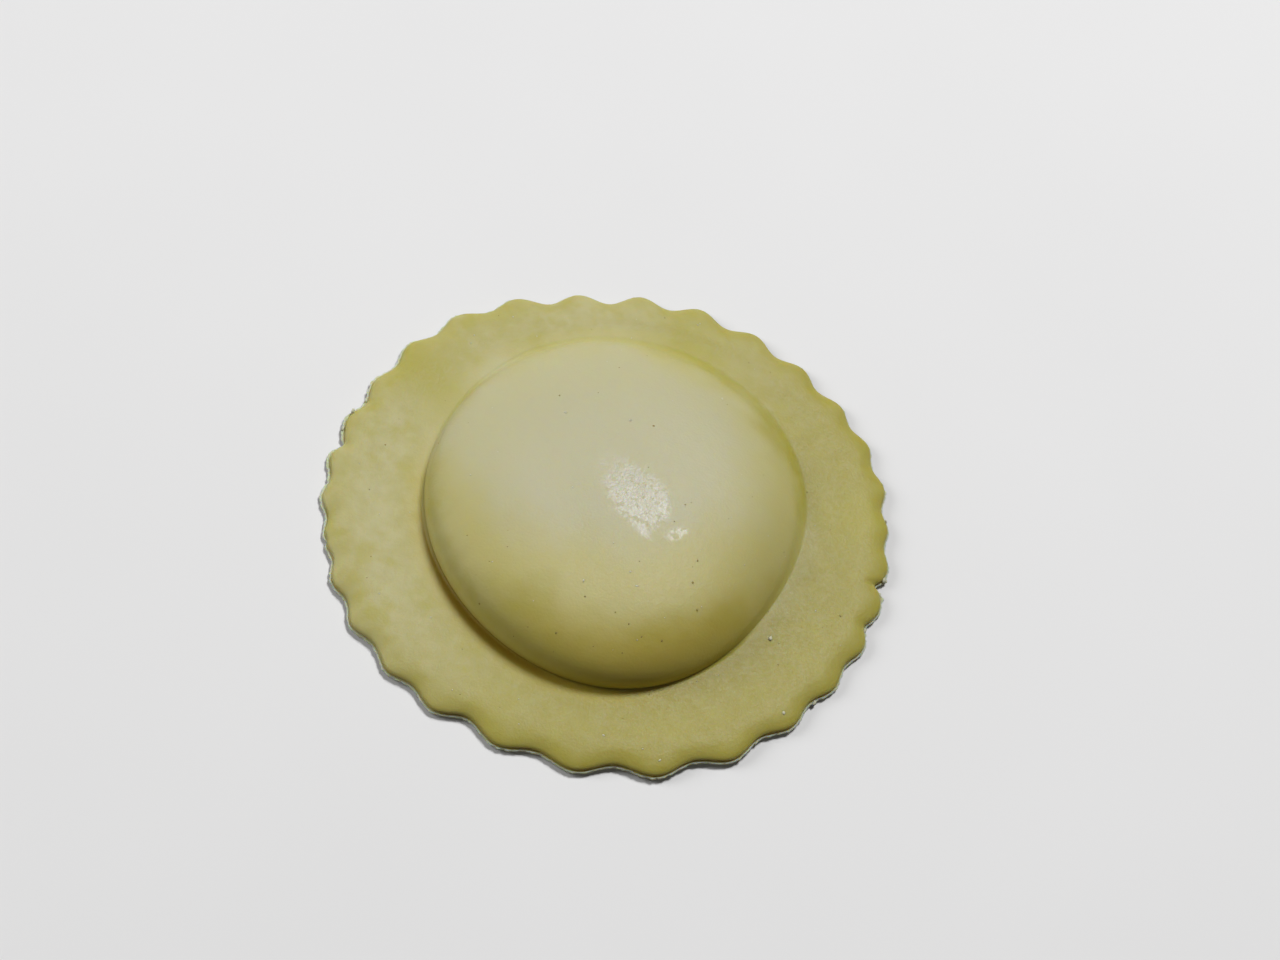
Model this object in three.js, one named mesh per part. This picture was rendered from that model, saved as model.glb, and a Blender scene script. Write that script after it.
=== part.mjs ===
// A round raviolo of fresh egg dough. A low, flat-topped dome holds the filling in the middle of a flat
// flange, and the flange's edge is cut into thirty scallops that are as uneven as hand-cut ones. The two sheets
// of dough are sealed together all round, so the closed raviolo is one solid.
// Millimetres, +Z up. It rests on its flat underside, with the origin on that face below the middle of the
// whole, and its near side towards -Y. Angles are in degrees, anticlockwise from +X as seen from above.

import * as THREE from 'three';

// Outline of the flange, seen from above
const RIM_RADIUS = 30;
const RIM_LOBES = [
  { waves: 2, height: 1.04, crestAt: 38 },
  { waves: 3, height: 0.27, crestAt: 60 },
  { waves: 4, height: 0.2, crestAt: -43 },
  { waves: 5, height: 0.08, crestAt: 7 },
  { waves: 7, height: 0.12, crestAt: -11 },
  { waves: 8, height: 0.09, crestAt: 4 },
];

// Places where the cut edge is torn or pushed in, or, with a depth below zero, pulled out
const RIM_DENTS = [
  { at: 9.3, width: 1.4, depth: 1.1 },
  { at: -1.4, width: 1.6, depth: 0.35 },
  { at: 25.5, width: 3, depth: 0.2 },
  { at: 31, width: 2.5, depth: -0.18 },
  { at: 56, width: 8, depth: 0.2 },
  { at: 158, width: 3.8, depth: -0.2 },
  { at: 176.5, width: 3.2, depth: 0.25 },
  { at: -172.6, width: 1.5, depth: 0.45 },
  { at: -150.6, width: 1.4, depth: 0.3 },
  { at: -122.5, width: 2.6, depth: 0.22 },
  { at: -114, width: 4.5, depth: -0.2 },
  { at: -103.5, width: 3.2, depth: 0.22 },
  { at: -86.5, width: 4.5, depth: -0.2 },
];

// Scallops: deepest on the near and far sides, closest together on the left and right
const SCALLOP_COUNT = 30;
const SCALLOP_HEIGHT = { mean: 0.44, swing: 0.16, deepestAt: 101 };
const SCALLOP_START = 3;
const SCALLOP_DRIFT = [
  { waves: 1, height: 2.65, crestAt: -152 },
  { waves: 2, height: 7.25, crestAt: 70 },
  { waves: 3, height: 0.45, crestAt: 11 },
  { waves: 4, height: 0.55, crestAt: 43 },
];
const SCALLOP_REACH = 3.2;

// Flange: two sheets, the upper one rounded over at the cut and the lower one left as a thin lip
const FLANGE_THICKNESS = 1.6;
const EDGE_PROFILE = [
  { inset: 0.14, height: 0.12 },
  { inset: 0, height: 0.32 },
  { inset: 0.12, height: 0.45 },
  { inset: 0.3, height: 0.52 },
  { inset: 0.26, height: 0.72 },
  { inset: 0.5, height: 1.02 },
  { inset: 1.05, height: 1.3 },
  { inset: 1.9, height: 1.48 },
];
const UNDERSIDE_INSET = 0.9;
const UNDERSIDE_MIDDLE = 15;
const RIM_LIFT = 0.16;
const RIM_LIFT_WAVES = [
  { waves: 2, height: 0.09, crestAt: -60 },
  { waves: 5, height: 0.05, crestAt: 20 },
];
const LIFT_STARTS = 23.5;
const FLANGE_DIMPLE = 0.08;

// Dome of wrapped filling: flat-topped, fuller on the near side and softer at the back
const DOME_CENTRE = { x: -0.28, y: 1.05 };
const DOME_RADIUS = 20.65;
const DOME_LOBES = [
  { waves: 2, height: 0.9, crestAt: 80 },
  { waves: 3, height: 0.34, crestAt: 51 },
  { waves: 4, height: 0.17, crestAt: 29 },
];
const DOME_HEIGHT = 6;
const DOME_FULLNESS = { mean: 4.2, swing: 0.9, highestAt: -100 };
const DOME_SHOULDER = { mean: 0.62, swing: 0.14, highestAt: 50 };
const DOME_LUMPS = [
  { height: 0.06, across: 0.31, along: 0.12, phase: 0.4 },
  { height: 0.06, across: -0.17, along: 0.42, phase: 2.1 },
  { height: 0.02, across: 0.62, along: 0.55, phase: 4.4 },
];

// Foot of the dome. On the near left the wall is widest above the flange and curls in to a foot that is tucked
// under it, so the spread is below zero there. At the back the foot runs out into the flange in a hollow curve.
const WIDEST_LEVEL = { mean: 0.55, swing: 0.55, highestAt: -115 };
const FOOT_RISE = { mean: 0.6, swing: 0.57, highestAt: 85 };
const FOOT_SPREAD = { mean: 0.25, swing: 0.65, highestAt: 85 };
const CREASE_OPENING = 0.5;
const FOOT_SHARES = [0, 0.25, 0.5, 0.75];

// Fineness of the mesh
const RIM_COLUMNS = SCALLOP_COUNT * 8;
const FLANGE_COLUMNS = RIM_COLUMNS / 2;
const APEX_COLUMNS = FLANGE_COLUMNS / 2;
const DOME_RINGS = 15;
const DOME_RING_CROWDING = 1.7;
const WALL_STEP = 0.01;
const APEX_SHARE = 0.2;

const DOUGH = { color: 0xc9bd74, roughness: 0.5, metalness: 0 };

const radians = THREE.MathUtils.degToRad;
const blend = THREE.MathUtils.smoothstep;

/** The sum of the given waves round the middle at an angle in radians. */
function lobes(waves, angle) {
  return waves.reduce((sum, w) => sum + w.height * Math.cos(w.waves * (angle - radians(w.crestAt))), 0);
}

/** A value that swings once round the middle and is highest in one direction. */
function oneSided({ mean, swing, highestAt }, angle) {
  return mean + swing * Math.cos(angle - radians(highestAt));
}

/** How far a scallop stands out of, or dips into, the mean outline. They crowd or spread by their drift. */
function scallop(angle) {
  const { mean, swing, deepestAt } = SCALLOP_HEIGHT;
  const height = mean + swing * Math.cos(2 * (angle - radians(deepestAt)));
  const turn = angle + radians(SCALLOP_START + lobes(SCALLOP_DRIFT, angle));
  return height * Math.cos(SCALLOP_COUNT * turn);
}

/** How far the edge is torn or pushed in at an angle. */
function dent(angle) {
  return RIM_DENTS.reduce((sum, { at, width, depth }) => {
    const turn = Math.atan2(Math.sin(angle - radians(at)), Math.cos(angle - radians(at)));
    return sum + depth * Math.exp(-((turn / radians(width)) ** 2));
  }, 0);
}

/** The radius of a ring that lies this far inside the cut edge. The scallops fade out as it goes in. */
function rimRadius(angle, inset) {
  const edge = 1 - blend(inset, 0, SCALLOP_REACH);
  return RIM_RADIUS + lobes(RIM_LOBES, angle) - inset + edge * (scallop(angle) - dent(angle));
}

/** How far the underside stands off the table: nothing under the middle, a little at the wavy edge. */
function lift(angle, radius) {
  return (RIM_LIFT + lobes(RIM_LIFT_WAVES, angle)) * blend(radius, LIFT_STARTS, RIM_RADIUS);
}

/** The foot of the dome, as a distance from the dome's centre. */
function footRadius(angle) {
  return DOME_RADIUS + lobes(DOME_LOBES, angle);
}

/** The slight unevenness of the filling under the sheet, none at the foot. */
function lump(x, y, climb) {
  const waves = DOME_LUMPS.map((l) => l.height * Math.sin(l.across * x + l.along * y + l.phase));
  return climb * waves.reduce((sum, w) => sum + w, 0);
}

/** A ring of points. place(angle) gives each point's polar place round the centre and its height. */
function ring(columns, place, centre = { x: 0, y: 0 }) {
  return Array.from({ length: columns }, (_, column) => {
    const angle = (2 * Math.PI * column) / columns;
    const { radius, z } = place(angle);
    return [centre.x + radius * Math.cos(angle), centre.y + radius * Math.sin(angle), z];
  });
}

/** A ring of the flange: so far inside the edge, and so high above the underside. */
function flangeRing(columns, inset, height) {
  return ring(columns, (angle) => {
    const radius = rimRadius(angle, inset);
    return { radius, z: height + lift(angle, radius) };
  });
}

/** The flat underside, from its middle point to the foot of the cut edge. */
function undersideRings() {
  const flat = (columns, radius) => ring(columns, () => ({ radius, z: 0 }));
  return [
    flat(1, 0),
    flat(APEX_COLUMNS, UNDERSIDE_MIDDLE),
    flangeRing(FLANGE_COLUMNS, SCALLOP_REACH, 0),
    flangeRing(RIM_COLUMNS, UNDERSIDE_INSET, 0),
  ];
}

/** The cut edge: the lower sheet's lip, a fine groove, and the upper sheet's rounded shoulder. */
function edgeRings() {
  return EDGE_PROFILE.map(({ inset, height }) => flangeRing(RIM_COLUMNS, inset, height));
}

/** The flange's upper face between the shoulder and the dome, a little thinner halfway. */
function faceRings() {
  const outer = flangeRing(FLANGE_COLUMNS, SCALLOP_REACH, FLANGE_THICKNESS);
  const foot = FOOT_SHARES.map((share) => domeRing((angle) => footPlace(angle, share)));
  const halfway = outer.map(([x, y], i) => {
    const [innerX, innerY] = foot[0][i];
    return [(x + innerX) / 2, (y + innerY) / 2, FLANGE_THICKNESS - FLANGE_DIMPLE];
  });
  return [outer, halfway, ...foot];
}

/** A ring round the dome's centre. */
function domeRing(place, columns = FLANGE_COLUMNS) {
  return ring(columns, place, DOME_CENTRE);
}

/** The dome from the top of its foot to its top point: upright sides that turn over into a flat crown. */
function domeRings() {
  const rings = [];
  for (let i = 0; i < DOME_RINGS; i += 1) {
    const left = 1 - i / DOME_RINGS;
    const climbed = 1 - left ** DOME_RING_CROWDING;
    const place = (angle) => {
      const first = footTop(angle);
      return domePlace(angle, first + (Math.PI / 2 - first) * climbed);
    };
    rings.push(domeRing(place, left < APEX_SHARE ? APEX_COLUMNS : FLANGE_COLUMNS));
  }
  return [...rings, domeRing((angle) => domePlace(angle, Math.PI / 2), 1)];
}

/** A point of the dome. turn goes from none at its widest level to a right angle at the top. */
function domePlace(angle, turn) {
  const radius = footRadius(angle) * Math.cos(turn) ** (2 / oneSided(DOME_FULLNESS, angle));
  const climb = Math.sin(turn) ** (2 * oneSided(DOME_SHOULDER, angle));
  const widest = oneSided(WIDEST_LEVEL, angle);
  const z = FLANGE_THICKNESS + widest + (DOME_HEIGHT - widest) * climb;
  return { radius, z: z + lump(radius * Math.cos(angle), radius * Math.sin(angle), climb) };
}

/** The turn at which the curve of the foot has run into the dome's wall. */
function footTop(angle) {
  const climb = oneSided(FOOT_RISE, angle) / (DOME_HEIGHT - oneSided(WIDEST_LEVEL, angle));
  return Math.asin(climb ** (0.5 / oneSided(DOME_SHOULDER, angle)));
}

/** The curve of the dome's foot, from the flange's face (share 0) to the slope of the wall (1). */
function footPlace(angle, share) {
  const wall = domePlace(angle, footTop(angle));
  const above = domePlace(angle, footTop(angle) + WALL_STEP);
  const rise = wall.z - FLANGE_THICKNESS;
  const corner = wall.radius + (rise * (wall.radius - above.radius)) / (above.z - wall.z);
  const spread = oneSided(FOOT_SPREAD, angle);
  const opening = CREASE_OPENING * Math.max(-spread, 0);
  const left = 1 - share;
  return {
    radius: left ** 2 * (corner + spread) + 2 * left * share * corner + share ** 2 * wall.radius,
    z: FLANGE_THICKNESS + 2 * left * share * opening + share ** 2 * rise,
  };
}

/** Triangles between two rings, where the longer ring has as many points as the shorter or twice as many. */
function bridge(lower, upper) {
  const columns = Math.max(lower.count, upper.count);
  const at = ({ start, count }, column) => start + (Math.floor((column * count) / columns) % count);
  const faces = [];
  for (let column = 0; column < columns; column += 1) {
    const corners = [at(lower, column), at(lower, column + 1), at(upper, column + 1), at(upper, column)];
    faces.push([corners[0], corners[1], corners[2]], [corners[0], corners[2], corners[3]]);
  }
  return faces.filter(([a, b, c]) => a !== b && b !== c && c !== a);
}

/** One closed body through a list of rings that starts and ends with a single point. */
function loft(rings) {
  const positions = [];
  const spans = rings.map((points) => {
    const start = positions.length / 3;
    points.forEach((point) => positions.push(...point));
    return { start, count: points.length };
  });
  const faces = spans.slice(1).flatMap((upper, i) => bridge(spans[i], upper));
  const geometry = new THREE.BufferGeometry();
  geometry.setAttribute('position', new THREE.Float32BufferAttribute(positions, 3));
  geometry.setIndex(faces.flat());
  return geometry;
}

/** Puts the middle of the body's outline over the origin. */
function centreOnOrigin(geometry) {
  geometry.computeBoundingBox();
  const middle = geometry.boundingBox.getCenter(new THREE.Vector3());
  return geometry.translate(-middle.x, -middle.y, 0);
}

/** The whole raviolo, from the middle of its underside, round the cut edge and up over the dome. */
function raviolo() {
  const rings = [...undersideRings(), ...edgeRings(), ...faceRings(), ...domeRings()];
  const geometry = centreOnOrigin(loft(rings));
  geometry.computeVertexNormals();
  const mesh = new THREE.Mesh(geometry, new THREE.MeshStandardMaterial(DOUGH));
  mesh.name = 'raviolo';
  return mesh;
}

const group = new THREE.Group();
group.add(raviolo());

export default group;
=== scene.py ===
"""A round raviolo of fresh egg dough, seen from above on a plain pale floor.

The shape repeats the solid's named sizes in millimetres and samples them finely: a wide flange of two sheets, cut to
thirty uneven scallops, round a low, flat-topped dome. To that come the ragged dry lip of the lower sheet, the fine
groove between the sheets, specks of bran, and a few crumbs and flecks of flour. Lengths are in millimetres until a
mesh is made, and angles are in degrees, anticlockwise from +X as seen from above.
"""

import math

import bpy
import numpy as np
from mathutils import Matrix, Vector


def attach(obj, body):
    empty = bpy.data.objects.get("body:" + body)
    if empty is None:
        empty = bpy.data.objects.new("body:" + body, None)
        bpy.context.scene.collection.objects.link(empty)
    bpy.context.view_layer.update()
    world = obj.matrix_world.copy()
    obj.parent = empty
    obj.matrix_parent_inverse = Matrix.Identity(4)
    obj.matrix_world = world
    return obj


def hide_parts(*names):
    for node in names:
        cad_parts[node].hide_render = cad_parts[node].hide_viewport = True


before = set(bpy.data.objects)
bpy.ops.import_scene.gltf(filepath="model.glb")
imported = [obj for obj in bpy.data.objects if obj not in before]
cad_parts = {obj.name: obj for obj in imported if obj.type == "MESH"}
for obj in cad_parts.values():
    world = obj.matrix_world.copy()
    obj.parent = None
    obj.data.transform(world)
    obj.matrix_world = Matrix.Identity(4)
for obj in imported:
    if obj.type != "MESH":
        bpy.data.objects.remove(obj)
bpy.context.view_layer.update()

MM = 0.001

# The cut edge seen from above. Waves round the middle are (number of waves, height, angle of a crest). SCALLOP_DRIFT
# shifts the scallops by degrees, and SCALLOP_REACH inside the edge they have faded out.
RIM_RADIUS = 30.0
RIM_LOBES = ((2, 1.04, 38), (3, 0.27, 60), (4, 0.20, -43), (5, 0.08, 7), (7, 0.12, -11), (8, 0.09, 4))
SCALLOP_COUNT = 30
SCALLOP_MEAN = 0.44
SCALLOP_SWING = (2, 0.16, 101)
SCALLOP_START = 3.0
SCALLOP_DRIFT = ((1, 2.65, -152), (2, 7.25, 70), (3, 0.45, 11), (4, 0.55, 43))
SCALLOP_REACH = 3.2

# Dents in the cut edge, as (angle, width in degrees, depth). Below zero, the edge is pulled out.
RIM_DENTS = (
    (9.3, 1.0, 0.6),
    (-1.4, 1.6, 0.35),
    (25.5, 3.0, 0.20),
    (31.0, 2.5, -0.18),
    (56.0, 8.0, 0.20),
    (158.0, 3.8, -0.20),
    (176.5, 3.2, 0.25),
    (-172.6, 1.5, 0.45),
    (-150.6, 1.4, 0.30),
    (-122.5, 2.6, 0.22),
    (-114.0, 4.5, -0.20),
    (-103.5, 3.2, 0.22),
    (-86.5, 4.5, -0.20),
)
# Nicks in the lower sheet's dry lip alone, in the same form
LIP_NICKS = (
    (-172.8, 0.7, 0.30),
    (-163.5, 0.5, 0.12),
    (-150.2, 0.5, 0.25),
    (11.2, 0.6, -0.35),
    (7.2, 0.6, -0.30),
    (-2.2, 0.5, -0.15),
    (172.0, 0.6, 0.15),
)
# The lip's fine roughness: its height, its shortest and longest wave, their number, and the height where it is full
LIP_RAGGEDNESS = 0.035
LIP_RAG_WAVELENGTHS = (0.5, 2.2)
LIP_RAG_WAVES = 24
LIP_RAG_FULL = 0.2

# The flange from the underside to the face. Profiles are (distance inside the edge, height). The upper sheet lies back
# by the ledge of the lower one, which fades out over LEDGE_FADES inside the edge.
FLANGE_THICKNESS = 1.6
UNDERSIDE_INSETS = (5.0, 3.2)
LIP_ROOT = 1.6
LIP_PROFILE = ((0.9, 0.0), (0.42, 0.03), (0.14, 0.12), (0.03, 0.22), (0.0, 0.32), (0.04, 0.41), (0.12, 0.45))
SHOULDER_PROFILE = (
    (0.0, 0.47),
    (0.07, 0.52),
    (0.04, 0.60),
    (0.02, 0.70),
    (0.08, 0.84),
    (0.25, 1.0),
    (0.55, 1.16),
    (1.0, 1.32),
    (1.6, 1.45),
    (2.4, 1.55),
)
LEDGE = 0.23
LEDGE_WIDE = (185, 22, 0.15)
LEDGE_FADES = (1.0, 2.4)
# How far the wavy edge stands off the floor, and how much thinner the flange is halfway to the dome
RIM_LIFT = 0.16
RIM_LIFT_WAVES = ((2, 0.09, -60), (5, 0.05, 20))
LIFT_STARTS = 23.5
FLANGE_DIMPLE = 0.08

# Dome of wrapped filling. From its widest level up, its wall climbs as (1 - share ** fullness) ** shoulder, by the
# share of its radius. On the near left it bulges over a tucked-in foot, and at the back its foot spreads out.
# Values that swing once round the middle are (mean, swing, the angle where they are highest). Lumps are (height, waves
# across, waves along, phase), with the waves and the phase in radians.
DOME_CENTRE = (-0.28, 1.05)
DOME_RADIUS = 20.65
DOME_LOBES = ((2, 0.9, 80), (3, 0.34, 51), (4, 0.17, 29))
DOME_HEIGHT = 6.0
DOME_FULLNESS = (4.2, 0.9, -100)
DOME_SHOULDER = (0.62, 0.14, 50)
DOME_LUMPS = ((0.06, 0.31, 0.12, 0.4), (0.06, -0.17, 0.42, 2.1), (0.02, 0.62, 0.55, 4.4))
WIDEST_LEVEL = (0.55, 0.55, -115)
# The foot's curve: how far above the widest level it ends, how far outside the wall it starts, and how much a
# tucked-in start is raised
FOOT_RISE = (0.6, 0.57, 85)
FOOT_SPREAD = (0.25, 0.65, 85)
CREASE_OPENING = 0.5

# Fineness of the mesh. Rings have fewer columns further in: on the dome when these shares of its rings are left, and
# below it in the flat rings, as (columns, radius).
RIM_COLUMNS = SCALLOP_COUNT * 32
FACE_COLUMNS = RIM_COLUMNS // 2
CROWN_COLUMNS = FACE_COLUMNS // 2
APEX_COLUMNS = CROWN_COLUMNS // 2
CROWN_SHARE = 0.35
APEX_SHARE = 0.12
FLAT_RINGS = ((1, 0.0), (APEX_COLUMNS, 12.0), (FACE_COLUMNS, 22.0))
PROFILE_STEPS = 3
FACE_RINGS = 14
FOOT_RINGS = 12
DOME_RINGS = 72
DOME_RING_CROWDING = 2.0
# The small turn over which the slope of the dome's wall is measured, in radians
WALL_STEP = 0.01

# Damp patches of the dough, as (x, y, radius, strength)
DAMP_PATCHES = (
    (0.8, 24.0, 5.0, 1.0),
    (-24.0, 8.0, 5.0, 1.0),
    (-18.9, 18.2, 4.5, 0.5),
    (25.2, 11.4, 4.2, 0.8),
    (-3.7, -26.8, 3.5, 0.35),
    (19.0, 9.5, 4.5, 0.3),
)

# How far the dome's pale crown reaches, as a share of the dome's radius: just past the foot at the back, less in
# front. Dips in its border are (angle, width, depth), and below zero it reaches further.
CROWN_REACH = (0.92, 0.13, 110)
CROWN_DIPS = ((-106, 7, 0.06), (-92, 5, -0.04), (-135, 22, -0.09), (5, 34, -0.14), (60, 28, 0.13))
# The palest part of the crown, as (x, y, length, width, angle)
CROWN_CORE = (-3.8, 5.1, 18.0, 13.8, 19)

# Smooth patches of the crown that catch the light, as (x, y, length, width, angle, strength)
GLOSS_PATCHES = (
    (2.1, -0.9, 3.4, 2.8, -30, 1.1),
    (-0.9, 1.6, 4.4, 2.8, -25, 0.5),
    (7.0, -2.9, 1.5, 0.6, 51, 0.8),
    (5.4, 6.0, 0.7, 0.25, -20, 0.6),
    (11.4, 6.0, 0.9, 0.2, -60, 0.6),
    (3.4, -4.2, 1.6, 0.5, -30, 0.5),
)

# Painted sheen on the flange: paler dough colour, palest on the side that lies this way from the middle, and the
# distances that way from the middle where it begins and is full
SHEEN_ANGLE = 165
SHEEN_SPAN = (-14, 20)

# Painted colour at the dome's foot, as (angle, width, strength), with how far it spreads over the flange: painted
# shade, dark in the crease of the tucked-in foot, and a lighter painted glow on the left
CREASE_SHADE = (-114, 50, 1.0)
CREASE_SPREAD = 1.35
FOOT_GLOW = (165, 38, 0.9)
FOOT_GLOW_SPREAD = 1.9
# Painted warm shade low on the dome's near wall, in the same form, and the shares of the dome's radius where it
# begins and is full
WALL_SHADE = (-60, 44, 0.85)
WALL_SPAN = (0.68, 0.95)

# Specks of bran that show, as (x, y, radius), and how many more are scattered, with their least and greatest radius
BRAN_SPECKS = (
    (-0.9, -18.4, 0.13),
    (9.4, -14.6, 0.12),
    (7.4, -15.4, 0.1),
    (5.6, -14.8, 0.1),
    (3.9, -14.3, 0.09),
    (0.4, -13.8, 0.12),
    (-9.2, -17.6, 0.12),
    (11.6, -9.9, 0.12),
    (10.2, -7.4, 0.13),
    (9.8, -4.9, 0.12),
    (0.4, 8.6, 0.13),
    (26.2, -1.2, 0.11),
    (-10.2, 8.0, 0.1),
)
SCATTERED_BRAN = 60
SCATTERED_BRAN_RADII = (0.045, 0.085)

# Flecks of flour that show on the dough, in the same form
FLOUR_FLECKS = (
    (20.2, -6.8, 0.33),
    (24.1, -14.6, 0.24),
    (-0.3, -12.2, 0.16),
    (5.0, -10.7, 0.14),
    (3.8, -9.4, 0.12),
    (-8.9, 6.1, 0.15),
    (-2.2, 8.2, 0.15),
    (6.2, 16.6, 0.14),
    (7.5, -24.8, 0.16),
    (13.7, -25.0, 0.16),
)
SCATTERED_FLOUR = 46
SCATTERED_FLOUR_RADII = (0.05, 0.1)
# How far from the middle the scattered ones lie
SCATTER_REACH = 28.0

# Crumbs and torn bits of dough on the cut edge, as (angle, distance outside CRUMB_INSET, height, radius). They face
# outwards, and up by CRUMB_UPTURN for each 1 out.
EDGE_CRUMBS = (
    (-176.6, -0.05, 0.55, 0.3),
    (179.2, -0.1, 1.0, 0.28),
    (175.5, 0.0, 0.7, 0.16),
    (11.3, 0.0, 0.62, 0.42),
    (10.4, -0.4, 0.5, 0.3),
    (7.6, -0.1, 0.55, 0.36),
    (-1.6, 0.05, 0.5, 0.3),
    (-23.1, 0.12, 0.45, 0.3),
    (25.4, 0.05, 0.6, 0.2),
)
CRUMB_INSET = 0.1
CRUMB_UPTURN = 0.6

# The least and greatest stretch of a bit sideways
BIT_STRETCH = (0.75, 1.35)
# Lengths that differ by less than this factor are the same edge
ROUNDING_SLACK = 1.01

random = np.random.default_rng(8)


# ---------------------------------------------------------------- shape


def lobes(waves, angle):
    """The sum of waves round the middle, at angles in radians."""
    return sum(height * np.cos(count * (angle - math.radians(crest))) for count, height, crest in waves)


def one_sided(values, angle):
    """A value that swings once round the middle: (mean, swing, the angle where it is highest)."""
    mean, swing, highest = values
    return mean + swing * np.cos(angle - math.radians(highest))


def humps(places, angle):
    """The sum of smooth humps round the middle, each (angle, width, height)."""
    total = np.zeros_like(angle)
    for at, width, height in places:
        turn = np.angle(np.exp(1j * (angle - math.radians(at))))
        total = total + height * np.exp(-((turn / math.radians(width)) ** 2))
    return total


def smoothstep(value, low, high):
    """A smooth step from none, at low, to 1, at high."""
    share = np.clip((value - low) / (high - low), 0, 1)
    return share * share * (3 - 2 * share)


def scallop_phase(angle):
    """1 at the tip of a scallop and -1 between two."""
    turn = angle + np.radians(SCALLOP_START + lobes(SCALLOP_DRIFT, angle))
    return np.cos(SCALLOP_COUNT * turn)


def scallop(angle):
    """How far the scallops take the cut edge out."""
    return (SCALLOP_MEAN + lobes((SCALLOP_SWING,), angle)) * scallop_phase(angle)


def rim_radius(angle, inset):
    """The radius of a ring that lies this far inside the cut edge. The scallops fade out as it goes in."""
    edge = 1 - smoothstep(inset, 0, SCALLOP_REACH)
    return RIM_RADIUS + lobes(RIM_LOBES, angle) - inset + edge * (scallop(angle) - humps(RIM_DENTS, angle))


def lift(angle, radius):
    """How far the underside stands off the floor: nothing under the middle, a little at the wavy edge."""
    return (RIM_LIFT + lobes(RIM_LIFT_WAVES, angle)) * smoothstep(radius, LIFT_STARTS, RIM_RADIUS)


def foot_radius(angle):
    """The radius of the dome at its widest level, from its own centre."""
    return DOME_RADIUS + lobes(DOME_LOBES, angle)


def lump(x, y, climb):
    """The slight unevenness of the filling under the sheet, none at the foot."""
    return climb * sum(height * np.sin(across * x + along * y + phase) for height, across, along, phase in DOME_LUMPS)


def raggedness(angle):
    """A fine seeded roughness round the edge, in and out by 1 on average."""
    total = np.zeros_like(angle)
    short, long = LIP_RAG_WAVELENGTHS
    waves = np.geomspace(2 * np.pi * RIM_RADIUS / long, 2 * np.pi * RIM_RADIUS / short, LIP_RAG_WAVES).astype(int)
    for count in waves:
        total = total + np.sin(count * angle + random.uniform(0, 2 * np.pi))
    return total / math.sqrt(len(waves) / 2)


def smooth_curve(points, steps):
    """A Catmull-Rom curve through points in the plane, with so many steps to each span."""
    points = np.array(points, float)
    padded = np.vstack([2 * points[0] - points[1], points, 2 * points[-1] - points[-2]])
    share = np.linspace(0, 1, steps, endpoint=False)[:, None]
    spans = []
    for before, start, end, after in zip(padded, padded[1:], padded[2:], padded[3:]):
        spans.append(
            start
            + share * (end - before) / 2
            + share**2 * (2 * before - 5 * start + 4 * end - after) / 2
            + share**3 * (3 * start - before - 3 * end + after) / 2
        )
    return np.vstack([*spans, points[-1:]])


def angles(columns):
    """The angles of so many columns, in radians."""
    return 2 * np.pi * np.arange(columns) / columns


def polar(angle, radius, z, centre=(0, 0)):
    """The points of a ring from its angles, radii and heights."""
    return np.stack([centre[0] + radius * np.cos(angle), centre[1] + radius * np.sin(angle), z + 0 * angle], axis=1)


def flange_ring(columns, inset, height):
    """A ring of the flange: so far inside the edge, and so high above the underside."""
    angle = angles(columns)
    radius = rim_radius(angle, inset)
    return polar(angle, radius, height + lift(angle, radius))


def underside_rings():
    """The underside from its middle point to where the scallops begin."""
    flat = [polar(angles(columns), radius, 0.0) for columns, radius in FLAT_RINGS]
    return flat + [flange_ring(FACE_COLUMNS, inset, 0.0) for inset in UNDERSIDE_INSETS]


def lip_rings():
    """The lower sheet's cut lip, ragged and nicked."""
    angle = angles(RIM_COLUMNS)
    rag = LIP_RAGGEDNESS * raggedness(angle) + humps(LIP_NICKS, angle)
    rings = [flange_ring(RIM_COLUMNS, LIP_ROOT, 0.0)]
    for inset, height in smooth_curve(LIP_PROFILE, PROFILE_STEPS):
        share = smoothstep(height, 0, LIP_RAG_FULL)
        rings.append(flange_ring(RIM_COLUMNS, inset + share * rag, height))
    return rings


def shoulder_rings():
    """The upper sheet from the groove over its rounded edge to the flange's face."""
    angle = angles(RIM_COLUMNS)
    ledge = LEDGE + humps((LEDGE_WIDE,), angle)
    rings = []
    for inset, height in smooth_curve(SHOULDER_PROFILE, PROFILE_STEPS):
        share = 1 - smoothstep(inset, *LEDGE_FADES)
        rings.append(flange_ring(RIM_COLUMNS, inset + share * ledge, height))
    return rings


def face_rings():
    """The flange's upper face from the shoulder to the dome's foot, a little thinner halfway."""
    angle = angles(FACE_COLUMNS)
    outer = polar(angle, rim_radius(angle, SCALLOP_REACH), 0.0)
    foot = foot_rings()[0]
    rings = []
    for share in np.linspace(0, 1, FACE_RINGS, endpoint=False):
        points = outer + share * (foot - outer)
        radius = np.hypot(points[:, 0], points[:, 1])
        points[:, 2] = FLANGE_THICKNESS + lift(angle, radius) - FLANGE_DIMPLE * math.sin(math.pi * share) ** 2
        rings.append(points)
    return rings


def dome_place(angle, turn):
    """A point of the dome. turn goes from none at its widest level to a right angle at the top."""
    radius = foot_radius(angle) * np.maximum(np.cos(turn), 0.0) ** (2 / one_sided(DOME_FULLNESS, angle))
    climb = np.sin(turn) ** (2 * one_sided(DOME_SHOULDER, angle))
    widest = one_sided(WIDEST_LEVEL, angle)
    height = FLANGE_THICKNESS + widest + (DOME_HEIGHT - widest) * climb
    return radius, height + lump(radius * np.cos(angle), radius * np.sin(angle), climb)


def foot_top(angle):
    """The turn where the curve of the foot has run into the dome's wall."""
    climb = one_sided(FOOT_RISE, angle) / (DOME_HEIGHT - one_sided(WIDEST_LEVEL, angle))
    return np.arcsin(climb ** (0.5 / one_sided(DOME_SHOULDER, angle)))


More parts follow.
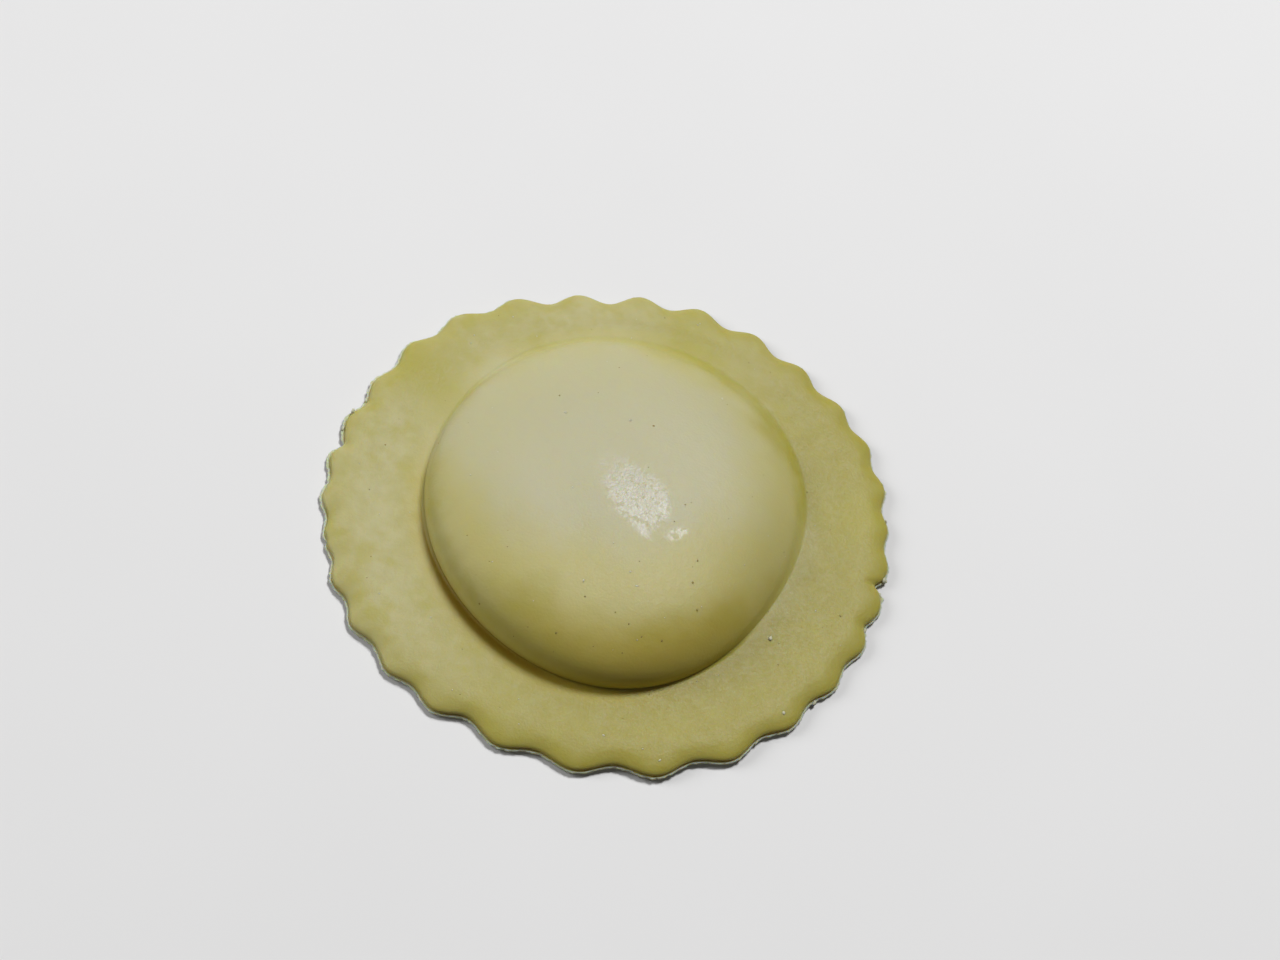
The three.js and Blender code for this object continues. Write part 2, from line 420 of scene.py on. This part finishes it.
def foot_rings():
    """The curve of the dome's foot, from the flange to the slope of the wall, tucked in or spread out."""
    angle = angles(FACE_COLUMNS)
    turn = foot_top(angle)
    radius, height = dome_place(angle, turn)
    above, higher = dome_place(angle, turn + WALL_STEP)
    rise = height - FLANGE_THICKNESS
    corner = radius + rise * (radius - above) / (higher - height)
    spread = one_sided(FOOT_SPREAD, angle)
    opening = CREASE_OPENING * np.maximum(-spread, 0)
    rings = []
    for share in np.linspace(0, 1, FOOT_RINGS, endpoint=False):
        left = 1 - share
        along = left**2 * (corner + spread) + 2 * left * share * corner + share**2 * radius
        climbed = 2 * left * share * opening + share**2 * rise
        rings.append(polar(angle, along, FLANGE_THICKNESS + climbed, DOME_CENTRE))
    return rings


def dome_columns(left):
    """The number of columns of a ring of the dome, by the share of its rings that is left above."""
    if left > CROWN_SHARE:
        return FACE_COLUMNS
    if left > APEX_SHARE:
        return CROWN_COLUMNS
    return APEX_COLUMNS if left > 0 else 1


def dome_rings():
    """The dome from the top of its foot to its top point: upright sides that turn over into a flat crown."""
    rings = []
    for i in range(DOME_RINGS + 1):
        left = 1 - i / DOME_RINGS
        angle = angles(dome_columns(left))
        first = foot_top(angle)
        turn = first + (np.pi / 2 - first) * (1 - left**DOME_RING_CROWDING)
        radius, height = dome_place(angle, turn)
        rings.append(polar(angle, radius, height, DOME_CENTRE))
    return rings


def bridge(lower, upper):
    """Faces between two rings, given as (start, count), where one has as many points as the other or a multiple."""
    columns = max(lower[1], upper[1])
    column = np.arange(columns)

    def corner(span, shift):
        start, count = span
        return start + ((column + shift) * count // columns) % count

    quads = np.stack([corner(lower, 0), corner(lower, 1), corner(upper, 1), corner(upper, 0)], axis=1)
    return [list(dict.fromkeys(quad)) for quad in quads.tolist()]


def raviolo_parts():
    """All the rings from the middle of the underside, round the cut edge and up over the dome, by what they make."""
    return {
        "underside": underside_rings(),
        "lip": lip_rings(),
        "shoulder": shoulder_rings(),
        "face": face_rings(),
        "foot": foot_rings(),
        "dome": dome_rings(),
    }


def plan_middle(points):
    """The middle of the outline's box, seen from above."""
    return (points[:, :2].min(0) + points[:, :2].max(0)) / 2


def mesh_object(name, vertices, faces, material):
    """A smooth-shaded mesh object from vertices in millimetres."""
    mesh = bpy.data.meshes.new(name)
    mesh.from_pydata((np.asarray(vertices) * MM).tolist(), [], faces)
    mesh.polygons.foreach_set("use_smooth", np.ones(len(mesh.polygons), bool))
    mesh.materials.append(material)
    mesh.update()
    made = bpy.data.objects.new(name, mesh)
    bpy.context.scene.collection.objects.link(made)
    return made


def store(piece, name, values):
    """Keeps one number for each vertex, for the material to read."""
    attribute = piece.data.attributes.new(name, "FLOAT", "POINT")
    attribute.data.foreach_set("value", np.asarray(values, np.float32))


def edge_distance(points):
    """How far inside the cut edge each point lies, seen from above."""
    angle = np.arctan2(points[:, 1], points[:, 0])
    return rim_radius(angle, 0.0) - np.hypot(points[:, 0], points[:, 1])


def patch_strength(points, patches):
    """The strength of round patches at each point, each (x, y, radius, strength)."""
    total = np.zeros(len(points))
    for x, y, radius, strength in patches:
        total += strength * np.exp(-(((points[:, 0] - x) ** 2 + (points[:, 1] - y) ** 2) / radius**2))
    return total


def patch_distance(points, x, y, length, width, angle):
    """How far each point is from the middle of a long patch, where its border is 1."""
    turn = math.radians(angle)
    across, along = points[:, 0] - x, points[:, 1] - y
    ahead = (across * math.cos(turn) + along * math.sin(turn)) / length
    aside = (along * math.cos(turn) - across * math.sin(turn)) / width
    return np.hypot(ahead, aside)


def patch_gloss(points, patches):
    """The strength of long smooth patches at each point."""
    total = np.zeros(len(points))
    for *patch, strength in patches:
        total += strength * np.exp(-(patch_distance(points, *patch) ** 2))
    return total


def fading(distance, reach):
    """The strength of a patch at a distance from where it is full."""
    return np.exp(-((distance / reach) ** 2))


def dough_masks(plan, points, climbed):
    """Where the dough looks different, as a number for each vertex, by the names that the material reads.

    plan holds the vertices round the middle of the waves, and points holds them as they are built. climbed goes from
    none on the flange to 1 on the dome's wall.
    """
    from_dome = plan[:, :2] - np.array(DOME_CENTRE)
    angle = np.arctan2(from_dome[:, 1], from_dome[:, 0])
    share = np.hypot(from_dome[:, 0], from_dome[:, 1]) / foot_radius(angle)
    outside = (share - 1) * foot_radius(angle)
    # A painted glow: lighter dough colour round the dome's foot on the left, added to the damp patches
    foot_glow = humps((FOOT_GLOW,), angle) * fading(outside, FOOT_GLOW_SPREAD)
    turn = math.radians(SHEEN_ANGLE)
    sheen_way = points[:, 0] * math.cos(turn) + points[:, 1] * math.sin(turn)
    return {
        "inset": np.maximum(edge_distance(plan), 0),
        "scallop_tip": scallop_phase(np.arctan2(plan[:, 1], plan[:, 0])),
        "crown": one_sided(CROWN_REACH, angle) - humps(CROWN_DIPS, angle) - share,
        "core": 1 - patch_distance(points, *CROWN_CORE),
        # Painted warm shade low on the dome's near wall
        "wall": (climbed > 0) * humps((WALL_SHADE,), angle) * smoothstep(share, *WALL_SPAN),
        # Painted shade in the crease of the tucked-in foot
        "crease": (1 - climbed) * humps((CREASE_SHADE,), angle) * fading(outside, CREASE_SPREAD),
        # Damp patches, together with the painted glow round the dome's foot
        "damp_and_foot_glow": patch_strength(points, DAMP_PATCHES) + foot_glow,
        "gloss": patch_gloss(points, GLOSS_PATCHES),
        # Painted sheen, paler towards one side of the flange
        "painted_sheen": smoothstep(sheen_way, *SHEEN_SPAN),
    }


def build_raviolo(material):
    """The raviolo, the vertices of its upper face with the number of their first, and the middle of its outline."""
    parts = raviolo_parts()
    rings = [ring for part in parts.values() for ring in part]
    first_ring = dict(zip(parts, np.cumsum([0] + [len(part) for part in parts.values()]).tolist()))
    starts = np.cumsum([0] + [len(ring) for ring in rings]).tolist()
    spans = [(start, len(ring)) for start, ring in zip(starts, rings)]
    faces = [face for lower, upper in zip(spans, spans[1:]) for face in bridge(lower, upper)]
    plan = np.vstack(rings)
    middle = plan_middle(plan)
    points = plan - np.array([*middle, 0])
    piece = mesh_object("raviolo_dough", points, faces, material)

    upper_start = starts[first_ring["shoulder"]]
    lip = np.zeros(len(points))
    lip[starts[first_ring["lip"]] : upper_start] = 1
    store(piece, "lip", lip)
    ring_of = np.repeat(np.arange(len(rings)), [len(ring) for ring in rings])
    climbed = np.clip((ring_of - first_ring["foot"]) / FOOT_RINGS, 0, 1)
    for name, values in dough_masks(plan, points, climbed).items():
        store(piece, name, values)
    return piece, (upper_start, points[upper_start:]), middle


def round_solid():
    """The twelve corners and twenty faces of a regular solid, from which each speck and crumb is made."""
    golden = (1 + math.sqrt(5)) / 2
    corners = [(0, a, b * golden) for a in (-1, 1) for b in (-1, 1)]
    corners = [Vector(c[k:] + c[:k]).normalized() for c in corners for k in range(3)]
    edge = min((a - b).length for i, a in enumerate(corners) for b in corners[:i])
    near = [[(a - b).length < edge * ROUNDING_SLACK for b in corners] for a in corners]
    count = range(len(corners))
    found = [(i, j, k) for i in count for j in count if j > i for k in count if k > j and near[i][j]]
    faces = []
    for i, j, k in found:
        if near[j][k] and near[i][k]:
            normal = (corners[j] - corners[i]).cross(corners[k] - corners[i])
            faces.append((i, j, k) if normal.dot(corners[i]) > 0 else (i, k, j))
    return corners, faces


def bits(name, places, material, squash, unevenness):
    """One piece of many small bits, each (place, normal, radius), uneven and squashed along the normal."""
    corners, triangles = round_solid()
    vertices, faces = [], []
    for place, normal, radius in places:
        twist = Matrix.Rotation(random.uniform(0, 2 * math.pi), 3, "Z").to_quaternion()
        turn = normal.to_track_quat("Z", "Y") @ twist
        stretch = random.uniform(*BIT_STRETCH)
        start = len(vertices)
        for corner in corners:
            uneven = radius * random.uniform(1 - unevenness, 1 + unevenness)
            local = Vector((corner.x * stretch, corner.y / stretch, corner.z * squash)) * uneven
            vertices.append(place + turn @ local)
        faces.extend([tuple(start + i for i in triangle) for triangle in triangles])
    piece = mesh_object(name, [tuple(v) for v in vertices], faces, material)
    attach(piece, "root")
    return piece


def on_surface(piece, upper, x, y):
    """The vertex of the upper face that is nearest to a point of the plan, and the way the dough faces there."""
    start, points = upper
    nearest = int(np.argmin(np.hypot(points[:, 0] - x, points[:, 1] - y)))
    return Vector(points[nearest]), piece.data.vertices[start + nearest].normal.copy()


def scattered(piece, upper, count, radii):
    """Seeded places all over the upper face, with radii between the least and the greatest."""
    places = []
    for _ in range(count):
        radius = SCATTER_REACH * math.sqrt(random.uniform(0, 1))
        angle = random.uniform(0, 2 * math.pi)
        place = on_surface(piece, upper, radius * math.cos(angle), radius * math.sin(angle))
        places.append((*place, random.uniform(*radii)))
    return places


def edge_place(angle, outside, height, middle):
    """A place on the cut edge, and the way it faces."""
    turn = np.array([math.radians(angle)])
    radius = float(rim_radius(turn, CRUMB_INSET)[0]) + outside
    way = Vector((math.cos(turn[0]), math.sin(turn[0]), 0.0))
    place = way * radius + Vector((-middle[0], -middle[1], height))
    return place, (way + Vector((0, 0, CRUMB_UPTURN))).normalized()


def build_bits(piece, upper, middle):
    """The specks of bran in the dough, and the flour and crumbs on it."""
    bran = [(*on_surface(piece, upper, x, y), radius) for x, y, radius in BRAN_SPECKS]
    bran += scattered(piece, upper, SCATTERED_BRAN, SCATTERED_BRAN_RADII)
    bits("bran_specks", bran, bit_material("bran", BRAN, roughness=0.5), squash=0.25, unevenness=0.25)
    flour = [(*on_surface(piece, upper, x, y), radius) for x, y, radius in FLOUR_FLECKS]
    flour += scattered(piece, upper, SCATTERED_FLOUR, SCATTERED_FLOUR_RADII)
    bits("flour_flecks", flour, bit_material("flour", FLOUR, roughness=0.8), squash=0.3, unevenness=0.35)
    crumbs = [(*edge_place(*at, middle), size) for *at, size in EDGE_CRUMBS]
    bits("edge_crumbs", crumbs, bit_material("dry_dough", DOUGH_DRY, roughness=0.8), squash=0.6, unevenness=0.3)


# ---------------------------------------------------------------- materials

DOUGH = (0.39, 0.341, 0.053, 1)
DOUGH_UPPER = (0.515, 0.465, 0.175, 1)
DOUGH_CROWN = (0.525, 0.495, 0.286, 1)
# Painted sheen towards one side of the flange, and also the pale tone of the random mottle
PALE_MOTTLE_AND_SHEEN = (0.64, 0.61, 0.37, 1)
# Damp patches and random blotches, and also the painted glow round the dome's foot
DOUGH_DAMP_AND_GLOW = (0.428, 0.382, 0.058, 1)
# Painted warm shade on the dome's near wall
PAINTED_WALL_SHADE = (0.49, 0.39, 0.075, 1)
# Painted shade in the dome's crease, and deeper in its middle
PAINTED_CREASE_SHADE = (0.50, 0.36, 0.028, 1)
PAINTED_CREASE_SHADE_DEEP = (0.29, 0.19, 0.01, 1)
DOUGH_PRESSED = (0.43, 0.372, 0.085, 1)
DOUGH_DRY = (0.64, 0.63, 0.44, 1)
BRAN = (0.30, 0.23, 0.05, 1)
FLOUR = (0.66, 0.64, 0.45, 1)
FLOOR_TONES = ((0.80, 0.79, 0.77, 1), (0.83, 0.82, 0.80, 1))

# Sizes of the unevenness in colour and surface, in millimetres
BROAD = 7.0
BLOTCH = 2.6
MIDDLE = 1.8
BREAK = 0.7
FINE = 0.28
BIT_TONE = 0.4
FLOOR_TONE = 40.0

# How masks and unevenness become strengths: (from, to) for none to 1, or (from, to, strength at from, strength at to)
SHEEN_RAMP = (0.2, 0.7, 0.32, 0.46)
MOTTLE_RAMP = (0.35, 0.75, 0.0, 0.08)
DAMP_AND_GLOW_RAMP = (0.1, 0.5)
BLOTCH_RAMP = (0.5, 0.72, 0.0, 0.45)
CROWN_RAMP = (-0.14, 0.14)
CORE_RAMP = (-0.2, 0.3)
CROWN_RAGGEDNESS = 0.45
CREASE_STRENGTH = 0.8
CREASE_DEEP_RAMP = (0.45, 0.95)
# How far in the pressed rim reaches, least at the scallops' tips, and how strong it is, least under the painted sheen
PRESSED_REACH_RAMP = (-1.0, 1.0, 2.0, 1.0)
PRESSED_RAMP = (1.0, 0.15)
PRESSED_SHEEN_RAMP = (0.0, 0.4, 0.6, 0.1)
DRY_RAMP = (0.3, 0.5, 0.7, 1.0)
# The smooth patches are broken up, and they take this much off the roughness
BREAK_RAMP = (0.34, 0.5)
GLOSS_RAMP = (0.2, 0.65)
GLOSS_SMOOTHING = 0.17
ROUGHNESS_RAMP = (0.3, 0.7, 0.46, 0.56)
GRAIN_DEPTH = 0.02
DIMPLE_DEPTH = 0.05
SPECULAR = 0.25
BIT_SHADE = 0.8

# The colour sockets of a Mix node, which also has sockets for numbers and vectors
MIX_A, MIX_B, MIX_RESULT = 6, 7, 2


class Graph:
    """Adds nodes to a material. An input that is another node's output is linked, and any other value is set."""

    def __init__(self, name):
        self.material = bpy.data.materials.new(name)
        self.material.use_nodes = True
        self.tree = self.material.node_tree
        self.shader = self.tree.nodes["Principled BSDF"]

    def fill(self, node, inputs):
        for key, value in inputs.items():
            if isinstance(value, bpy.types.NodeSocket):
                self.tree.links.new(value, node.inputs[key])
            else:
                node.inputs[key].default_value = value

    def add(self, kind, inputs, output=0, **settings):
        node = self.tree.nodes.new(kind)
        for key, value in settings.items():
            setattr(node, key, value)
        self.fill(node, inputs)
        return node.outputs[output]

    def attribute(self, name):
        """A mask that is stored on the mesh."""
        return self.add("ShaderNodeAttribute", {}, "Fac", attribute_name=name)

    def place(self):
        """The place on the object, in millimetres."""
        place = self.add("ShaderNodeTexCoord", {}, "Object")
        return self.add("ShaderNodeVectorMath", {0: place, "Scale": 1 / MM}, operation="SCALE")

    def noise(self, place, size, detail=2.0):
        """Smooth unevenness of this size, 0.5 on average."""
        return self.add("ShaderNodeTexNoise", {"Vector": place, "Scale": 1 / size, "Detail": detail}, "Fac")

    def math(self, operation, a, b):
        return self.add("ShaderNodeMath", {0: a, 1: b}, operation=operation)

    def ramp(self, value, low, high, start=0.0, end=1.0):
        """A smooth step of a value from start, at low, to end, at high."""
        inputs = {"Value": value, "From Min": low, "From Max": high, "To Min": start, "To Max": end}
        return self.add("ShaderNodeMapRange", inputs, interpolation_type="SMOOTHSTEP")

    def mix(self, factor, a, b):
        return self.add("ShaderNodeMix", {0: factor, MIX_A: a, MIX_B: b}, MIX_RESULT, data_type="RGBA")

    def bump(self, height, depth, normal=None):
        """Unevenness of the surface, this many millimetres deep."""
        inputs = {"Height": height, "Distance": depth * MM, "Strength": 1.0}
        if normal is not None:
            inputs["Normal"] = normal
        return self.add("ShaderNodeBump", inputs, "Normal")


def flange_colour(graph, place, broad, middle):
    """The flange's colour with its damp patches, the painted glow by the dome's foot and the painted sheen, and the
    strength of that sheen.
    """
    # Painted sheen: paler dough colour towards one side of the flange, broken up by noise
    painted_sheen = graph.math("MULTIPLY", graph.ramp(middle, *SHEEN_RAMP), graph.attribute("painted_sheen"))
    colour = graph.mix(painted_sheen, DOUGH, PALE_MOTTLE_AND_SHEEN)
    colour = graph.mix(graph.ramp(middle, *MOTTLE_RAMP), colour, PALE_MOTTLE_AND_SHEEN)
    # Damp patches with the painted glow round the dome's foot, broken up by noise
    damp_and_foot_glow = graph.math("MULTIPLY", graph.attribute("damp_and_foot_glow"), graph.ramp(broad, *DAMP_AND_GLOW_RAMP))
    colour = graph.mix(damp_and_foot_glow, colour, DOUGH_DAMP_AND_GLOW)
    blotches = graph.ramp(graph.noise(place, BLOTCH), *BLOTCH_RAMP)
    return graph.mix(blotches, colour, DOUGH_DAMP_AND_GLOW), painted_sheen


def dome_colour(graph, colour, broad):
    """Pale crown, paler core and painted shade, warm on the wall and dark in the crease, over the flange's colour."""
    ragged = graph.math("MULTIPLY", graph.math("SUBTRACT", broad, 0.5), CROWN_RAGGEDNESS)
    crown = graph.math("ADD", graph.attribute("crown"), ragged)
    colour = graph.mix(graph.ramp(crown, *CROWN_RAMP), colour, DOUGH_UPPER)
    core = graph.math("ADD", graph.attribute("core"), ragged)
    colour = graph.mix(graph.ramp(core, *CORE_RAMP), colour, DOUGH_CROWN)
    # Painted warm shade low on the near wall
    colour = graph.mix(graph.attribute("wall"), colour, PAINTED_WALL_SHADE)
    # Painted shade in the crease, darker where it is strongest
    crease = graph.attribute("crease")
    colour = graph.mix(graph.math("MULTIPLY", crease, CREASE_STRENGTH), colour, PAINTED_CREASE_SHADE)
    return graph.mix(graph.ramp(crease, *CREASE_DEEP_RAMP), colour, PAINTED_CREASE_SHADE_DEEP)


def edge_colour(graph, colour, painted_sheen, fine):
    """The pressed rim and the dry lip, laid over the rest."""
    reach = graph.ramp(graph.attribute("scallop_tip"), *PRESSED_REACH_RAMP)
    pressed = graph.ramp(graph.math("DIVIDE", graph.attribute("inset"), reach), *PRESSED_RAMP)
    pressed = graph.math("MULTIPLY", pressed, graph.ramp(painted_sheen, *PRESSED_SHEEN_RAMP))
    colour = graph.mix(pressed, colour, DOUGH_PRESSED)
    dry = graph.math("MULTIPLY", graph.attribute("lip"), graph.ramp(fine, *DRY_RAMP))
    return graph.mix(dry, colour, DOUGH_DRY)


def dough_roughness(graph, place, fine):
    """The fine grain of the roughness, less in the broken smooth patches."""
    breaks = graph.ramp(graph.noise(place, BREAK, detail=4.0), *BREAK_RAMP)
    gloss = graph.ramp(graph.math("MULTIPLY", graph.attribute("gloss"), breaks), *GLOSS_RAMP)
    smoothing = graph.math("MULTIPLY", gloss, GLOSS_SMOOTHING)
    return graph.math("SUBTRACT", graph.ramp(fine, *ROUGHNESS_RAMP), smoothing)


def dough_material():
    """Fresh egg dough: matt, slightly translucent, uneven in colour, with painted shade, sheen and glow."""
    graph = Graph("egg_dough")
    place = graph.place()
    broad = graph.noise(place, BROAD)
    middle = graph.noise(place, MIDDLE, detail=3.0)
    fine = graph.noise(place, FINE)
    colour, painted_sheen = flange_colour(graph, place, broad, middle)
    colour = dome_colour(graph, colour, broad)
    colour = edge_colour(graph, colour, painted_sheen, fine)
    grain = graph.bump(fine, GRAIN_DEPTH)
    graph.fill(
        graph.shader,
        {
            "Base Color": colour,
            "Roughness": dough_roughness(graph, place, fine),
            "Normal": graph.bump(middle, DIMPLE_DEPTH, grain),
            "Subsurface Weight": 0.8,
            "Subsurface Radius": (1.0, 0.6, 0.2),
            "Subsurface Scale": 1.4 * MM,
            "Specular IOR Level": SPECULAR,
        },
    )
    return graph.material


def bit_material(name, colour, roughness):
    """A matt material of slightly varied tone, for specks, flecks and crumbs."""
    graph = Graph(name)
    tone = graph.noise(graph.place(), BIT_TONE)
    darker = tuple(BIT_SHADE * channel for channel in colour[:3]) + (1,)
    graph.fill(
        graph.shader,
        {"Base Color": graph.mix(tone, darker, colour), "Roughness": roughness, "Specular IOR Level": SPECULAR},
    )
    return graph.material


def floor_material():
    """Plain, pale and matt."""
    graph = Graph("pale_floor")
    tone = graph.noise(graph.place(), FLOOR_TONE)
    graph.fill(
        graph.shader,
        {"Base Color": graph.mix(tone, *FLOOR_TONES), "Roughness": 0.8, "Specular IOR Level": 0.2},
    )
    return graph.material


# ---------------------------------------------------------------- stage

# The floor's side, in metres
FLOOR_SIZE = 6.0
# Where the camera stands from its target, how far it is rolled, and its lens, with the target and distance in
# millimetres
VIEW_AZIMUTH = -90.0
VIEW_ELEVATION = 57.0
VIEW_ROLL = 22.0
VIEW_TARGET = (1.225, 6.43, 0.0)
VIEW_DISTANCE = 291.02
LENS = 75.69
SENSOR = 36.0

# Each light as azimuth, elevation, distance and size in metres, watts and colour
LIGHTS = {
    "key": (74, 60, 1.0, 0.3, 7.9, (0.97, 0.98, 1.0)),
    "window": (190, 30, 1.0, 0.5, 4.6, (0.96, 0.97, 1.0)),
}
# A bluish light that shows only as a reflection in the smooth patches, in the same form
GLINT = (87, 58, 1.0, 0.3, 2.7, (0.0, 0.05, 1.0))
# The strength of the world as light, and as it is seen behind the floor
WORLD_LIGHT = 0.07
WORLD_SEEN = 0.62


def direction(azimuth, elevation):
    """The way that a point at this azimuth and elevation lies from the middle."""
    a, e = math.radians(azimuth), math.radians(elevation)
    return Vector((math.cos(a) * math.cos(e), math.sin(a) * math.cos(e), math.sin(e)))


def build_camera():
    """The photo's view: from above and in front, rolled."""
    data = bpy.data.cameras.new("camera")
    data.lens = LENS
    data.sensor_width = SENSOR
    camera = bpy.data.objects.new("camera", data)
    bpy.context.scene.collection.objects.link(camera)
    back = direction(VIEW_AZIMUTH, VIEW_ELEVATION)
    level = (-back).to_track_quat("-Z", "Y").to_matrix()
    turned = level @ Matrix.Rotation(math.radians(VIEW_ROLL), 3, "Z")
    place = Vector(VIEW_TARGET) * MM + back * VIEW_DISTANCE * MM
    camera.matrix_world = Matrix.Translation(place) @ turned.to_4x4()
    bpy.context.scene.camera = camera


def build_light(name, azimuth, elevation, distance, size, watts, colour):
    """A round area light that faces the middle."""
    data = bpy.data.lights.new(name, "AREA")
    data.shape = "DISK"
    data.size = size
    data.energy = watts
    data.color = colour
    light = bpy.data.objects.new(name, data)
    light.location = direction(azimuth, elevation) * distance
    light.rotation_euler = direction(azimuth, elevation).to_track_quat("Z", "Y").to_euler()
    bpy.context.scene.collection.objects.link(light)
    return light


def build_lights():
    for name, values in LIGHTS.items():
        build_light(name, *values)
    glint = build_light("glint", *GLINT)
    glint.visible_diffuse = False
    glint.visible_transmission = False


def build_world():
    """A dim room to the object, and a pale one to the camera."""
    world = bpy.data.worlds.new("room")
    world.use_nodes = True
    nodes, links = world.node_tree.nodes, world.node_tree.links
    dim = nodes["Background"]
    dim.inputs["Strength"].default_value = WORLD_LIGHT
    dim.inputs["Color"].default_value = (1, 1, 1, 1)
    pale = nodes.new("ShaderNodeBackground")
    pale.inputs["Strength"].default_value = WORLD_SEEN
    pale.inputs["Color"].default_value = (1, 1, 1, 1)
    path = nodes.new("ShaderNodeLightPath")
    mix = nodes.new("ShaderNodeMixShader")
    links.new(path.outputs["Is Camera Ray"], mix.inputs[0])
    links.new(dim.outputs[0], mix.inputs[1])
    links.new(pale.outputs[0], mix.inputs[2])
    links.new(mix.outputs[0], nodes["World Output"].inputs["Surface"])
    bpy.context.scene.world = world


def build_floor():
    """The plain floor, which sends no light up to the raviolo."""
    half = FLOOR_SIZE / 2 / MM
    corners = [(-half, -half, 0), (half, -half, 0), (half, half, 0), (-half, half, 0)]
    floor = mesh_object("floor", corners, [[0, 1, 2, 3]], floor_material())
    floor.visible_diffuse = False


build_camera()
build_lights()
build_world()
build_floor()
bpy.context.scene.view_settings.view_transform = "Standard"

dough = dough_material()
raviolo, upper_face, outline_middle = build_raviolo(dough)
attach(raviolo, "root")
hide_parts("raviolo")
build_bits(raviolo, upper_face, outline_middle)
